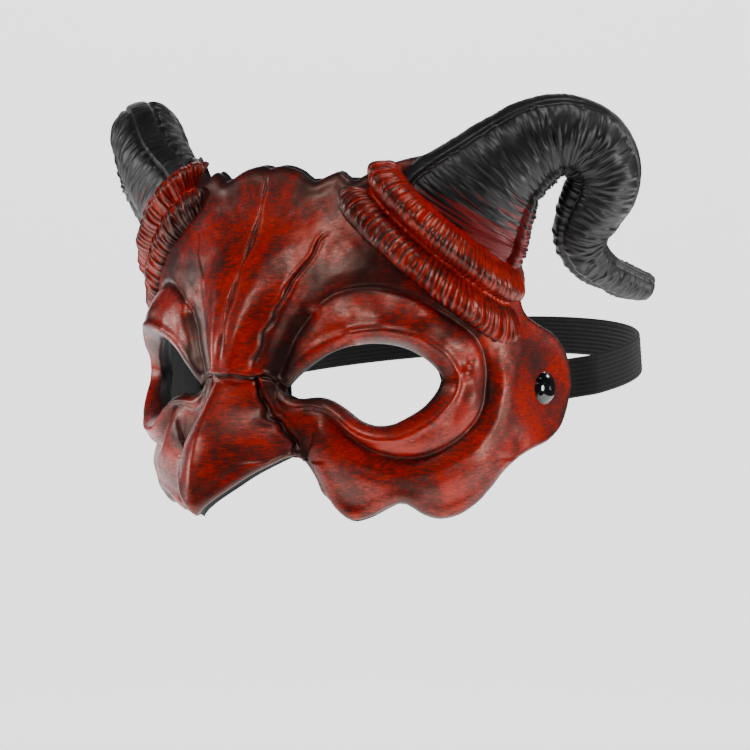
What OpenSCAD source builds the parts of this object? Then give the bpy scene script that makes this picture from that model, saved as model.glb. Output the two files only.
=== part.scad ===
// Horned half mask: moulded face shell with a beak, two wrinkled collars,
// two ram horns, two snap rivets and an elastic head strap.
// Origin: outer face of the shell at the nose bridge.
// +X is the wearer's left, +Y runs back along the head, +Z is up. Millimetres.

/* [Face shell] */
// Width of the shell across the temples
face_w = 166; // [140:1:190]
// Height of the shell from the cheek lobes to the brow edge
face_h = 130; // [112:1:150]
// How far the shell wraps back from the nose bridge to its widest line
face_d = 95; // [80:1:110]
// Wall of the moulded shell
wall = 3.5; // [2.5:0.1:4.5]
// How far the beak stands out from the face
beak_out = 33; // [24:1:40]
// How far the eye rim turns in from its ridge
rim_in = 4.5; // [2:0.5:6]

/* [Collars] */
// Thickness of the lower roll of a collar
roll_low = 14; // [11:0.5:17]
// Thickness of the upper roll of a collar
roll_high = 11; // [9:0.5:13]

/* [Horns] */
// Size of the horns, in per cent
horn_size = 100; // [85:1:115]
// Width of a horn at its tip
horn_tip = 11; // [7:0.5:14]

/* [Rivets] */
// Width of a rivet's domed cap
cap_d = 12; // [9:0.5:15]
// Height of the dome
cap_h = 2.8; // [2:0.1:4]
// Width of the rivet's post
post_d = 4; // [3:0.1:5]
// Thickness of the rivet's back washer
back_t = 2; // [1.5:0.1:3]

/* [Strap] */
// Width of the elastic strap
strap_w = 15; // [10:1:20]
// Thickness of the elastic strap
strap_t = 1.2; // [0.8:0.1:1.8]
// Length of the head, from the nose bridge to the strap's back
head_l = 208; // [185:1:230]
// How far the strap climbs towards the back of the head, in degrees
strap_climb = 7; // [0:1:12]

/* [Fits] */
// Gap round the rivet's post in the shell and the back washer
post_gap = 0.04; // [0.02:0.01:0.1]
// Gap round the post in the strap's hole, where the strap turns
turn_gap = 0.08; // [0.03:0.01:0.1]
// Gap on each face of the strap
face_gap = 0.3; // [0.2:0.05:0.5]
// How deep collars and horns are seated in what they are glued to
seat = 1.2; // [0.6:0.1:2]

/* [Hidden] */

red = [0.62, 0.07, 0.03];
black = [0.06, 0.06, 0.065];

// The pattern of the face is drawn flat, in millimetres, for a face of this
// size: u runs round the face from its centre line, z runs up from the bridge.
pattern_h = 130;
pattern_d = 95;
pattern_end = 146;
k_z = face_h / pattern_h;
k_y = face_d / pattern_d;

// Plan section of the head: a squared ellipse about an axis behind the bridge
squareness = 2.3;
half_w = face_w / 2;
pattern_r = 92;
bridge_in = 8;
axis_y = bridge_in + face_d;
brow_lean = 19;
chin_lean = 10;

function clamp01(t) = max(0, min(1, t));
function smooth(a, b, x) = let (t = clamp01((x - a) / (b - a))) t * t * (3 - 2 * t);
function unit(v) = v / max(norm(v), 1e-9);
function reject(v, t) = v - (v * t) * t;
function mirrored(v, s) = [s * v.x, v.y, v.z];

// How far the surface leans back above and below the bridge
function lean(z) = z > 0 ? brow_lean * pow(z / 70, 1.5) : chin_lean * pow(z / 57, 2);

function plan_r(phi) = pow(
    pow(abs(sin(phi)) / half_w, squareness) + pow(abs(cos(phi)) / face_d, squareness),
    -1 / squareness
);

// Forward of the head: the beak below the bridge, the brow panel above it
beak_half = [[4, 9], [8, 10.5], [14, 13], [20, 18], [26, 23], [32, 27], [60, 34]];
panel_half = [[0, 13], [20, 20], [45, 32], [70, 36]];
bridge_out = 9;
brow_out = 9.4;
beak_power = 1.45;
function beak_ridge(z) = bridge_out + (beak_out - bridge_out) * sin(90 * clamp01((-5 - z) / 43))
    - 7 * pow(max(0, (-48 - z) / 10), 2);
function beak(u, z, in) = beak_ridge(z)
    * (1 - pow(clamp01(abs(u) / (lookup(-z, beak_half) - in)), beak_power));
function brow(u, z) = brow_out * pow(cos(90 * clamp01((z - 8) / 50)), 2)
    * (1 - smooth(0.25, 1, abs(u) / lookup(z, panel_half)));
function forward(u, z, in) = let (w = smooth(-5.5, -3, z))
    beak(u, z, in) * (1 - w) + brow(u, z) * w;
// How much narrower the beak is inside, which keeps a wall on its steep sides
beak_side = 0.6 * wall;

// A point d millimetres outside the head surface, and the same point of the
// face, whose beak is narrower by "in" on each side
function head_point(u, z, d) = let (phi = u / pattern_r * 180 / PI, r = plan_r(phi) + d)
    [r * sin(phi), axis_y - r * cos(phi) + lean(z) * k_y, z * k_z];
function face_point(u, z, d, in) = head_point(u, z, d) - [0, forward(u, z, in), 0];

// The flat land round each rivet
rivet_uz = [127, -8.5];
rivet_at = head_point(rivet_uz.x, rivet_uz.y, 0);
land_x = half_w - 1.5;
land_r = cap_d / 2 + 8;
land_fade = 10;
function on_land(p, x) = let (far = norm([p.y - rivet_at.y, p.z - rivet_at.z]))
    [p.x + (x - p.x) * (1 - smooth(land_r, land_r + land_fade, far)), p.y, p.z];

// Spokes of half of the face: on the eye's edge, in the crease round the eye
// ring, and on the shell's edge. They run clockwise from the nose bridge.
spokes = [
    [[20.6, -7.4], [17.5, -3], [0, 8]],
    [[21.6, -6.2], [18.6, 0], [0, 20]],
    [[23.5, -4.1], [20.8, 4], [0, 34]],
    [[26, -2], [22.5, 9], [0, 48]],
    [[28.5, 0], [25.4, 15.5], [0, 60]],
    [[31.5, 2.2], [28.5, 20], [0, 72]],
    [[35, 4.6], [31.8, 23.5], [7, 74]],
    [[38.5, 6.4], [36, 26.5], [14, 71.6]],
    [[42.5, 7.8], [40.5, 28.6], [21.5, 68]],
    [[47, 8.7], [46, 29.4], [28.6, 71.6]],
    [[52, 9.1], [52, 29], [35, 68]],
    [[57, 8.9], [58.5, 28], [46, 74]],
    [[62, 8], [65, 25.7], [58, 77]],
    [[67, 6.2], [71, 22.8], [71, 76]],
    [[71.5, 3.6], [77, 19.4], [83, 70]],
    [[75.5, 0.4], [83.5, 15.8], [93.5, 58]],
    [[78, -3], [90, 11], [101, 42]],
    [[78.6, -5], [94.5, 5.5], [109.5, 25]],
    [[78, -7], [96.2, 0], [121, 15.5]],
    [[76.4, -9.1], [95.8, -7], [140, 5.7]],
    [[74, -11.6], [93.8, -13.5], [146, -6.8]],
    [[71.4, -14.1], [90, -19.5], [141.5, -18]],
    [[68.5, -16.2], [85, -24], [127, -28.4]],
    [[65.5, -17.8], [79, -28], [107, -34.8]],
    [[62, -19.5], [72, -31.2], [93.5, -45]],
    [[58, -20.8], [65, -32.5], [83, -52.5]],
    [[54.5, -21.2], [59.5, -32.2], [71.6, -55]],
    [[51, -20.7], [54.5, -31.2], [64, -52.5]],
    [[48, -19.5], [50, -29.3], [58.9, -49]],
    [[45.2, -17.7], [46.5, -26.8], [51, -52]],
    [[42.5, -15.4], [43.5, -24.3], [44, -55.5]],
    [[39.8, -13.4], [40.7, -21.2], [37, -55.8]],
    [[36.8, -12], [38, -18.3], [32.5, -49]],
    [[33.5, -11.1], [35, -16.3], [30.5, -40.4]],
    [[30, -10.9], [31.5, -15.5], [28.5, -35.5]],
    [[26.8, -11.2], [27.5, -16], [25.5, -31.8]],
    [[24.5, -11.5], [24, -17.5], [21, -34.6]],
    [[22.8, -11.2], [20, -18], [15.5, -39.5]],
    [[21.4, -10.3], [16.5, -17], [8, -45.5]],
    [[20.6, -9.8], [14.3, -14.5], [0, -54]],
    [[20.1, -9.4], [13, -12], [0, -38]],
    [[19.8, -9], [12, -9.5], [0, -20]],
    [[19.9, -8.4], [11, -7], [0, -4]]
];
spoke_n = len(spokes);
per_spoke = 2;
round_n = spoke_n * per_spoke;

// A smooth curve through four neighbours, at t from the second to the third
function curve(a, b, c, d, t) = b + 0.5 * t * (c - a
    + t * (2 * a - 5 * b + 4 * c - d + t * (3 * (b - c) + d - a)));
function spoke_at(i, k) = let (s = floor(i / per_spoke), t = (i % per_spoke) / per_spoke)
    curve(
        spokes[(s + spoke_n - 1) % spoke_n][k], spokes[s][k],
        spokes[(s + 1) % spoke_n][k], spokes[(s + 2) % spoke_n][k], t
    );
// The centre line lies between two spokes that both stand on it
function on_centre(i) = let (s = floor(i / per_spoke), n = (s + (i % per_spoke == 0 ? 0 : 1)) % spoke_n)
    spokes[s][2].x == 0 && spokes[n][2].x == 0;
function edge_at(i) = let (e = spoke_at(i, 2)) [on_centre(i) ? 0 : max(e.x, 0.6), e.y];

// Rows from the eye to the crease, then from the crease to the edge
ring_rows = [0, 0.17, 0.5];
field_rows = [0, 0.14, 0.32, 0.52, 0.72, 0.88, 1];
ring_rise = [-rim_in, 1.5, 1.2];
field_rise = [-0.6, 1.8, 2.6, 1.6, 0.6, 0.1, 0];
row_n = len(ring_rows) + len(field_rows);

function grid_point(i, j, inside) = let (
        in_ring = j < len(ring_rows),
        row = in_ring ? j : j - len(ring_rows),
        a = in_ring ? spoke_at(i, 0) : spoke_at(i, 1),
        b = in_ring ? spoke_at(i, 1) : edge_at(i),
        p = a + (b - a) * (in_ring ? ring_rows[row] : field_rows[row]),
        crease_u = spoke_at(i, 1).x,
        rise = in_ring
            ? ring_rise[row] * (0.25 + 0.75 * smooth(12, 36, crease_u))
            : field_rise[row] * smooth(24, 44, crease_u),
        sunk = min(rise - 0.6 * wall, -wall)
    )
    inside
        ? on_land(face_point(p.x, p.y, sunk, beak_side), land_x - wall)
        : on_land(face_point(p.x, p.y, rise, 0), land_x);

outer_grid = [for (i = [0:round_n - 1]) [for (j = [0:row_n - 1]) grid_point(i, j, false)]];
inner_grid = [for (i = [0:round_n - 1]) [for (j = [0:row_n - 1]) grid_point(i, j, true)]];

// Points are listed side by side: right outer, right inner, left outer, left inner
layer_n = round_n * row_n;
function flat_grid(g, s) = [for (i = [0:round_n - 1]) for (j = [0:row_n - 1]) mirrored(g[i][j], s)];
function point_no(side, layer, i, j) = let (
        spoke = i % round_n,
        shared = j == row_n - 1 && on_centre(spoke)
    )
    ((shared ? 0 : side) * 2 + layer) * layer_n + spoke * row_n + j;
function turned(f, flip) = flip ? [f[2], f[1], f[0]] : f;
function quad(a, b, c, d, flip) = [turned([a, b, c], flip), turned([a, c, d], flip)];

function skin(side, layer) = [
    for (i = [0:round_n - 1]) for (j = [0:row_n - 2])
        for (f = quad(
            point_no(side, layer, i, j), point_no(side, layer, i + 1, j),
            point_no(side, layer, i + 1, j + 1), point_no(side, layer, i, j + 1),
            (side + layer) % 2 == 1
        )) f
];
function rim(side, j, flip) = [
    for (i = [0:round_n - 1])
        if (j == 0 || !(on_centre(i) && on_centre((i + 1) % round_n)))
            for (f = quad(
                point_no(side, 0, i, j), point_no(side, 0, i + 1, j),
                point_no(side, 1, i + 1, j), point_no(side, 1, i, j),
                flip
            )) f
];

module shell_body() {
    polyhedron(
        points = concat(
            flat_grid(outer_grid, 1), flat_grid(inner_grid, 1),
            flat_grid(outer_grid, -1), flat_grid(inner_grid, -1)
        ),
        faces = concat(
            skin(0, 0), skin(0, 1), skin(1, 0), skin(1, 1),
            rim(0, 0, true), rim(0, row_n - 1, false),
            rim(1, 0, false), rim(1, row_n - 1, true)
        ),
        convexity = 10
    );
}

// Straight bores through both lands
module post_bore(r, x0, x1, s) {
    translate([s * x0, rivet_at.y, rivet_at.z])
        rotate([0, s * 90, 0])
            cylinder(r = r, h = x1 - x0, $fn = 48);
}

post_r = post_d / 2;
module mask_shell() {
    color(red)
        difference() {
            shell_body();
            post_bore(post_r + post_gap, land_x - wall - 2, land_x + 2, 1);
            post_bore(post_r + post_gap, land_x - wall - 2, land_x + 2, -1);
        }
}

// What the collars and horns are trimmed back to: the head's surface, sunk by
// the seat. It is closed by a flat back.
core_u = [for (u = [2:8:130]) u];
core_z = [-10, 10, 25, 40, 55, 68, 78, 88, 98];
function core_sink(z) = seat + 20 * pow(max(0, z - 68) / 30, 1.5);
core_rows = [for (z = core_z) [
    [0, axis_y + 40, z * k_z],
    for (u = core_u) head_point(u, z, -core_sink(z)),
    [half_w - core_sink(z), axis_y + 40, z * k_z]
]];
module head_core() {
    n = len(core_rows[0]);
    m = len(core_rows);
    polyhedron(
        points = [for (row = core_rows) for (p = row) p],
        faces = concat(
            [[for (i = [0:n - 1]) i]],
            [[for (i = [n - 1:-1:0]) (m - 1) * n + i]],
            [for (j = [0:m - 2]) for (i = [0:n - 1]) for (f = quad(
                j * n + i, (j + 1) * n + i,
                (j + 1) * n + (i + 1) % n, j * n + (i + 1) % n, false
            )) f]
        ),
        convexity = 4
    );
}

// The root of a horn stands on the temple, and its long axis runs down and out
root_uz = [80, 58.5];
root_in = 0.5;
root_ahead = 3.3;
root_at = head_point(root_uz.x, root_uz.y, -root_in) - [0, root_ahead, 0];
long_axis = unit([0.56, 0.54, -0.63]);
up_axis = unit(reject([0.6, 0.12, 0.79], long_axis));
short_axis = cross(up_axis, long_axis);
h = horn_size / 100;

// A collar's lower roll, upper roll and mouth, out from the root
function collar_centre(t) = root_at + h * ((1 - t) * [-12.3, -4.6, -20.2] + t * [-6.5, -1.8, -7.6]);
function collar_long(t) = h * (34 - 4 * t);
function collar_short(t) = h * (12.5 + 2 * t);
// Section of the two rolls: along the collar, and out from its middle line
collar_section = [
    [-0.50, -3], [-0.42, roll_low * 0.30], [-0.05, roll_low / 2], [0.30, roll_low * 0.38],
    [0.55, roll_low * 0.16], [0.75, roll_high * 0.42], [1.05, roll_high / 2],
    [1.35, roll_high * 0.2], [1.38, -4], [0.9, -6.5], [0.3, -8]
];
collar_n = 40;
function collar_point(a, s) = collar_centre(s.x)
    + (collar_long(s.x) + s.y) * cos(a) * long_axis
    + (collar_short(s.x) + s.y) * sin(a) * short_axis;
module collar_ring() {
    m = len(collar_section);
    polyhedron(
        points = [for (i = [0:collar_n - 1]) for (s = collar_section)
            collar_point(360 * i / collar_n, s)],
        faces = [for (i = [0:collar_n - 1]) for (j = [0:m - 1]) for (f = quad(
            i * m + j, i * m + (j + 1) % m,
            ((i + 1) % collar_n) * m + (j + 1) % m, ((i + 1) % collar_n) * m + j, false
        )) f],
        convexity = 6
    );
}

// A horn's middle line from its root, and its width there
horn_line = [
    [-7, -1.5, -12], [0, 0, 0], [13, 3.5, 14.5], [23.5, 11.5, 24], [31.5, 18, 26.5],
    [37.5, 25, 23], [40, 30, 15], [38, 32, 6.5], [33.5, 31.5, -1.5], [29.5, 32, -8],
    [27.8, 34, -13.5], [28, 37.5, -18.5], [29.8, 45, -23.5], [32.8, 54, -27.5], [36.3, 62, -30]
];
horn_width = [52, 50, 36, 30, 27.2, 26.6, 26, 25.2, 23, 20.6, 18.4, 16, 13.6, 12.6, horn_tip];
// Short width over long width of the horn's section
horn_flat = [0.48, 0.5, 0.76, 0.92, 1, 1, 1, 1, 1, 1, 1, 1, 1, 1, 1];
horn_steps = 3;
horn_sides = 18;
function along(list, k) = let (
        n = len(list),
        i = min(floor(k), n - 2)
    )
    curve(list[max(i - 1, 0)], list[i], list[i + 1], list[min(i + 2, n - 1)], k - i);
horn_rings = (len(horn_line) - 1) * horn_steps;
horn_path = [for (i = [0:horn_rings]) root_at + h * along(horn_line, i / horn_steps)];
horn_heads = [for (i = [0:horn_rings])
    unit(horn_path[min(i + 1, horn_rings)] - horn_path[max(i - 1, 0)])];
// The section's long direction is carried along the horn without turning
horn_long = [for (
        i = 0, v = unit(reject(long_axis, horn_heads[0]));
        i <= horn_rings;
        i = i + 1, v = unit(reject(v, horn_heads[min(i, horn_rings)]))
    ) v];
module horn_body() {
    rounding = [[0.9, 0.72], [1.6, 0.35]];
    function ring(c, v, w, ra, rb) = [for (k = [0:horn_sides - 1])
        c + ra * cos(360 * k / horn_sides) * v + rb * sin(360 * k / horn_sides) * w];
    rows = [
        for (i = [0:horn_rings])
            let (
                wide = h * along(horn_width, i / horn_steps) / 2,
                flat = along(horn_flat, i / horn_steps),
                w = cross(horn_heads[i], horn_long[i])
            )
            ring(horn_path[i], horn_long[i], w, wide, wide * flat),
        for (r = rounding)
            let (w = cross(horn_heads[horn_rings], horn_long[horn_rings]), tip = h * horn_tip / 2)
            ring(horn_path[horn_rings] + horn_heads[horn_rings] * r.x, horn_long[horn_rings], w,
                tip * r.y, tip * r.y)
    ];
    m = len(rows);
    polyhedron(
        points = [for (row = rows) for (p = row) p],
        faces = concat(
            [[for (k = [0:horn_sides - 1]) k]],
            [[for (k = [horn_sides - 1:-1:0]) (m - 1) * horn_sides + k]],
            [for (j = [0:m - 2]) for (k = [0:horn_sides - 1]) for (f = quad(
                j * horn_sides + k, (j + 1) * horn_sides + k,
                (j + 1) * horn_sides + (k + 1) % horn_sides, j * horn_sides + (k + 1) % horn_sides,
                false
            )) f]
        ),
        convexity = 8
    );
}

module collar(s) {
    color(red)
        mirror([s < 0 ? 1 : 0, 0, 0])
            difference() {
                collar_ring();
                head_core();
            }
}
module collar_left() { collar(1); }
module collar_right() { collar(-1); }

module horn(s) {
    color(black)
        mirror([s < 0 ? 1 : 0, 0, 0])
            difference() {
                horn_body();
                head_core();
            }
}
module horn_left() { horn(1); }
module horn_right() { horn(-1); }

// Stack at a rivet, from outside in: dome, shell, strap, back washer
strap_out = land_x - wall - face_gap;
strap_in = strap_out - strap_t;
back_out = strap_in - face_gap;
back_in = back_out - back_t;
socket_d = back_t * 0.6;

// Profiles turn about the rivet's axis, with their height along it
module at_rivet(s, x) {
    translate([s * x, rivet_at.y, rivet_at.z])
        rotate([0, s * 90, 0])
            children();
}
dome_r = (pow(cap_d / 2, 2) + pow(cap_h, 2)) / (2 * cap_h);
dome_half = asin(cap_d / 2 / dome_r);
module rivet_cap(s) {
    post_l = land_x - back_out + socket_d;
    color(black)
        at_rivet(s, land_x)
            rotate_extrude($fn = 64)
                polygon(concat(
                    [[0, -post_l], [post_r, -post_l], [post_r, 0], [cap_d / 2, 0]],
                    [for (k = [1:10]) let (a = dome_half * (1 - k / 10))
                        [dome_r * sin(a), cap_h - dome_r * (1 - cos(a))]]
                ));
}
module rivet_cap_left() { rivet_cap(1); }
module rivet_cap_right() { rivet_cap(-1); }

module rivet_back(s) {
    hole = post_r + post_gap;
    edge = back_t * 0.4;
    color(black)
        at_rivet(s, back_out)
            rotate_extrude($fn = 64)
                polygon([
                    [hole, 0], [cap_d / 2, 0], [cap_d / 2, -back_t + edge],
                    [cap_d / 2 - edge, -back_t], [0, -back_t],
                    [0, -socket_d - post_gap], [hole, -socket_d - post_gap]
                ]);
}
module rivet_back_left() { rivet_back(1); }
module rivet_back_right() { rivet_back(-1); }

// The strap: flat at the rivets, then out to the head and round its back
strap_x = (strap_out + strap_in) / 2;
strap_side = half_w - 1;
strap_past = 1;
strap_flare = 16;
strap_clear = head_point(pattern_end, rivet_uz.y, 0).y + strap_past;
strap_turn = strap_clear + strap_flare;
strap_tail = 8;
strap_n = 28;
rivet_axis = [0, rivet_at.y, rivet_at.z];
strap_half = concat(
    [[strap_x, rivet_at.y - strap_tail], [strap_x, strap_clear]],
    [for (t = [0.25:0.25:0.75])
        [strap_x + (strap_side - strap_x) * smooth(0, 1, t), strap_clear + (strap_turn - strap_clear) * t]],
    [for (k = [0:strap_n]) let (a = 90 * k / strap_n)
        [strap_side * cos(a), strap_turn + (head_l - strap_turn) * sin(a)]]
);
strap_line = concat(
    strap_half,
    [for (k = [len(strap_half) - 2:-1:0]) [-strap_half[k].x, strap_half[k].y]]
);
strap_last = len(strap_line) - 1;
function strap_edge(k, d) = let (
        t = unit(strap_line[min(k + 1, strap_last)] - strap_line[max(k - 1, 0)])
    )
    strap_line[k] + d * [t.y, -t.x];
module strap() {
    hole = post_r + turn_gap;
    color(black)
        translate(rivet_axis)
        rotate([strap_climb, 0, 0])
        translate(-rivet_axis)
        difference() {
            translate([0, 0, rivet_at.z - strap_w / 2])
                linear_extrude(height = strap_w)
                    polygon(concat(
                        [for (k = [0:strap_last]) strap_edge(k, strap_t / 2)],
                        [for (k = [strap_last:-1:0]) strap_edge(k, -strap_t / 2)]
                    ));
            post_bore(hole, strap_in - 2, strap_out + 2, 1);
            post_bore(hole, strap_in - 2, strap_out + 2, -1);
        }
}

mask_shell();
collar_left();
collar_right();
horn_left();
horn_right();
rivet_cap_left();
rivet_cap_right();
rivet_back_left();
rivet_back_right();
strap();
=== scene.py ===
import math

import bpy
import numpy as np
from mathutils import Matrix, Vector


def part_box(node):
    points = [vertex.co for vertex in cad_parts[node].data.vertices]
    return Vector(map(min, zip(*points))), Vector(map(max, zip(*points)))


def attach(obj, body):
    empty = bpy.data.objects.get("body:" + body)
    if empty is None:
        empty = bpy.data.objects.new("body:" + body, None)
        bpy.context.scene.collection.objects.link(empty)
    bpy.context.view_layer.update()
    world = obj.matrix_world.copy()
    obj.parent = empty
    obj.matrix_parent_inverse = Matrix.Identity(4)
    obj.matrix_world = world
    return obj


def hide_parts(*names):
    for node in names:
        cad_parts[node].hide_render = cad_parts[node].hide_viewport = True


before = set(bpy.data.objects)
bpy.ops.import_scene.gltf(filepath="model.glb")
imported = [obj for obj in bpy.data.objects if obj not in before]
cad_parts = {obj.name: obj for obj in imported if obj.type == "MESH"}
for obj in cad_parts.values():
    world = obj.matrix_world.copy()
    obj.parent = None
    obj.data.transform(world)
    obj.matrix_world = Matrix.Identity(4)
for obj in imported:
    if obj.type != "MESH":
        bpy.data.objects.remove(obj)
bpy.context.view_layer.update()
mm = 0.001   # in metres


def ramp(low, high, x):
    # 3t^2 - 2t^3, where t is how far x is from low to high
    t = np.clip((x - low) / (high - low), 0, 1)
    return t * t * (3 - 2 * t)


def bell(x, width):
    # e to the minus (x / width) squared
    return np.exp(-(x / width) ** 2)


def through(x, pairs):
    # a cubic through (x, y) pairs whose slope at each is that of its neighbours
    xs, ys = np.array(pairs, float).T
    slope = np.gradient(ys, xs)
    i = np.clip(np.searchsorted(xs, x) - 1, 0, len(xs) - 2)
    gap = xs[i + 1] - xs[i]
    t = np.clip((x - xs[i]) / gap, 0, 1)
    t2, t3 = t * t, t * t * t
    return ((2 * t3 - 3 * t2 + 1) * ys[i] + (t3 - 2 * t2 + t) * gap * slope[i]
            + (3 * t2 - 2 * t3) * ys[i + 1] + (t3 - t2) * gap * slope[i + 1])


def curveThrough(points, steps=10, closed=False, corners=()):
    # Catmull-Rom: cubic pieces whose tangents are half the chord between the neighbours,
    # and at a corner the chord on that side alone
    p = np.array(points, float)
    n = len(p)
    before, after = np.roll(p, 1, 0), np.roll(p, -1, 0)
    leave, arrive = (after - before) / 2, (after - before) / 2
    if not closed:
        leave[0], arrive[-1] = p[1] - p[0], p[-1] - p[-2]
    for c in corners:
        leave[c], arrive[c] = after[c] - p[c], p[c] - before[c]
    t = (np.arange(steps) / steps)[None, :, None]
    t2, t3 = t * t, t ** 3
    a, b = p[:, None], after[:, None]
    m, k = leave[:, None], np.roll(arrive, -1, 0)[:, None]
    out = (2 * t3 - 3 * t2 + 1) * a + (t3 - 2 * t2 + t) * m + (3 * t2 - 2 * t3) * b + (t3 - t2) * k
    out = out.reshape(n * steps, -1)
    return out if closed else np.concatenate([out[:(n - 1) * steps], p[-1:]])


def nearest(points, curve):
    # distance from each point to a polyline, how far along it that is, and the place on it
    a, b = curve[:-1].astype(np.float32), curve[1:].astype(np.float32)
    ab = b - a
    length = np.linalg.norm(ab, axis=1)
    start = np.concatenate([[0], np.cumsum(length)[:-1]])
    dist, along, spot = [], [], []
    for chunk in np.array_split(points.astype(np.float32), max(1, len(points) // 4000)):
        ap = chunk[:, None] - a
        t = np.clip((ap * ab).sum(-1) / np.maximum(length ** 2, 1e-9), 0, 1)
        off = ap - t[..., None] * ab
        d2 = (off ** 2).sum(-1)
        k = d2.argmin(1)
        rows = np.arange(len(chunk))
        tk = t[rows, k]
        dist.append(np.sqrt(d2[rows, k]))
        along.append(start[k] + tk * length[k])
        spot.append(a[k] + tk[:, None] * ab[k])
    return np.concatenate(dist), np.concatenate(along), np.concatenate(spot)


def isInside(points, loop):
    # odd number of crossings of a level ray with the closed loop
    a, b = loop.astype(np.float32), np.roll(loop, -1, 0).astype(np.float32)
    rise = np.where(np.abs(b[:, 1] - a[:, 1]) < 1e-9, 1e-9, b[:, 1] - a[:, 1])
    out = []
    for chunk in np.array_split(points.astype(np.float32), max(1, len(points) // 4000)):
        x, y = chunk[:, 0:1], chunk[:, 1:2]
        crosses = (a[:, 1] > y) != (b[:, 1] > y)
        at = a[:, 0] + (y - a[:, 1]) / rise * (b[:, 0] - a[:, 0])
        out.append((crosses & (x < at)).sum(1) % 2 == 1)
    return np.concatenate(out)


def noise3(p, seed=0):
    # value noise: a random number at each whole point, blended by 3t^2 - 2t^3 between them
    p = np.asarray(p, float)
    cell = np.floor(p).astype(np.int64)
    f = p - cell
    f = f * f * (3 - 2 * f)
    total = 0
    for dx in (0, 1):
        for dy in (0, 1):
            for dz in (0, 1):
                h = ((cell[..., 0] + dx) * 73856093) ^ ((cell[..., 1] + dy) * 19349663)
                h = h ^ ((cell[..., 2] + dz) * 83492791) ^ (seed * 2654435761)
                h = (h ^ (h >> 13)) * 1274126177
                value = ((h ^ (h >> 16)) & 0xffff) / 32767.5 - 1
                total = total + value * (np.where(dx, f[..., 0], 1 - f[..., 0])
                                         * np.where(dy, f[..., 1], 1 - f[..., 1])
                                         * np.where(dz, f[..., 2], 1 - f[..., 2]))
    return total


def makePiece(name, verts, quads, tris=None, attributes=None, uv=None):
    # vertices in millimetres; quads and triangles as index rows
    verts = np.asarray(verts, float) * mm
    faces = [np.asarray(quads, np.int64).reshape(-1, 4)]
    counts = [np.full(len(faces[0]), 4)]
    if tris is not None and len(tris):
        faces.append(np.asarray(tris, np.int64).reshape(-1, 3))
        counts.append(np.full(len(tris), 3))
    loops = np.concatenate([f.ravel() for f in faces])
    counts = np.concatenate(counts)
    mesh = bpy.data.meshes.new(name)
    mesh.vertices.add(len(verts))
    mesh.vertices.foreach_set("co", verts.astype(np.float32).ravel())
    mesh.loops.add(len(loops))
    mesh.loops.foreach_set("vertex_index", loops.astype(np.int32))
    mesh.polygons.add(len(counts))
    starts = np.concatenate([[0], np.cumsum(counts)[:-1]])
    mesh.polygons.foreach_set("loop_start", starts.astype(np.int32))
    mesh.polygons.foreach_set("loop_total", counts.astype(np.int32))
    mesh.update(calc_edges=True)
    mesh.polygons.foreach_set("use_smooth", np.ones(len(counts), bool))
    for key, values in (attributes or {}).items():
        layer = mesh.attributes.new(key, "FLOAT", "POINT")
        layer.data.foreach_set("value", np.asarray(values, np.float32))
    if uv is not None:
        layer = mesh.uv_layers.new(name="UVMap")
        layer.data.foreach_set("uv", np.asarray(uv, np.float32)[loops].ravel())
    mesh.validate()
    piece = bpy.data.objects.new(name, mesh)
    bpy.context.collection.objects.link(piece)
    return piece


def gridFaces(rows, cols, closeRows=False, closeCols=False):
    # quads of a grid of vertices numbered row by row
    i = np.arange(rows if closeRows else rows - 1)
    j = np.arange(cols if closeCols else cols - 1)
    i, j = np.meshgrid(i, j, indexing="ij")
    i2, j2 = (i + 1) % rows, (j + 1) % cols
    return np.stack([i * cols + j, i2 * cols + j, i2 * cols + j2, i * cols + j2], -1).reshape(-1, 4)


def normalsOf(verts, quads, tris=None):
    # sum of the faces' area vectors at each vertex, made one long
    total = np.zeros_like(verts)
    for f in (quads, tris):
        if f is None or not len(f):
            continue
        a = np.cross(verts[f[:, 2]] - verts[f[:, 0]], verts[f[:, -1]] - verts[f[:, 1]])
        for k in range(f.shape[1]):
            np.add.at(total, f[:, k], a)
    return total / np.maximum(np.linalg.norm(total, axis=1, keepdims=True), 1e-9)


def hollowness(verts, normals, quads, passes=3):
    # how far each vertex lies below the mean of its neighbours, spread over a few passes
    pairs = np.concatenate([quads[:, [0, 1]], quads[:, [1, 2]], quads[:, [2, 3]], quads[:, [3, 0]]])
    count = np.bincount(pairs.ravel(), minlength=len(verts)).astype(float)
    count[count == 0] = 1

    def around(values):
        # mean over the neighbours
        out = np.zeros_like(values)
        np.add.at(out, pairs[:, 0], values[pairs[:, 1]])
        np.add.at(out, pairs[:, 1], values[pairs[:, 0]])
        return out / (count[:, None] if values.ndim == 2 else count)

    mean = verts
    for _ in range(passes):
        mean = around(mean)
    low = ((mean - verts) * normals).sum(1)
    return (low + around(low)) / 2


# the face's surface is drawn flat, in millimetres: u runs round the face, z up it
face = {
    "halfWidth": 83.0, "depth": 95.0, "squareness": 2.3, "patternRadius": 92.0,
    "bridgeIn": 8.0, "browLean": 19.0, "chinLean": 10.0, "wall": 3.5,
    "bridgeOut": 9.0, "beakOut": 33.0, "beakPower": 1.45,
    "beakHalf": [(4, 9), (8, 10.5), (14, 13), (20, 18), (26, 23), (32, 27), (60, 34)],
    "panelHalf": [(-6, 12), (0, 13), (20, 20), (45, 32), (70, 36), (80, 37)],
    "landX": 81.5, "landRadius": 14.0, "landFade": 10.0,
}
axisY = face["bridgeIn"] + face["depth"]
rivetAt = (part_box("rivet_cap_left")[0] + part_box("rivet_cap_left")[1]) / 2 / mm


def leanBack(z):
    # above the bridge as the height to the power 1.5, below it as the square
    return np.where(z > 0, face["browLean"] * (np.abs(z) / 70) ** 1.5,
                    face["chinLean"] * (z / 57) ** 2)


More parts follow.
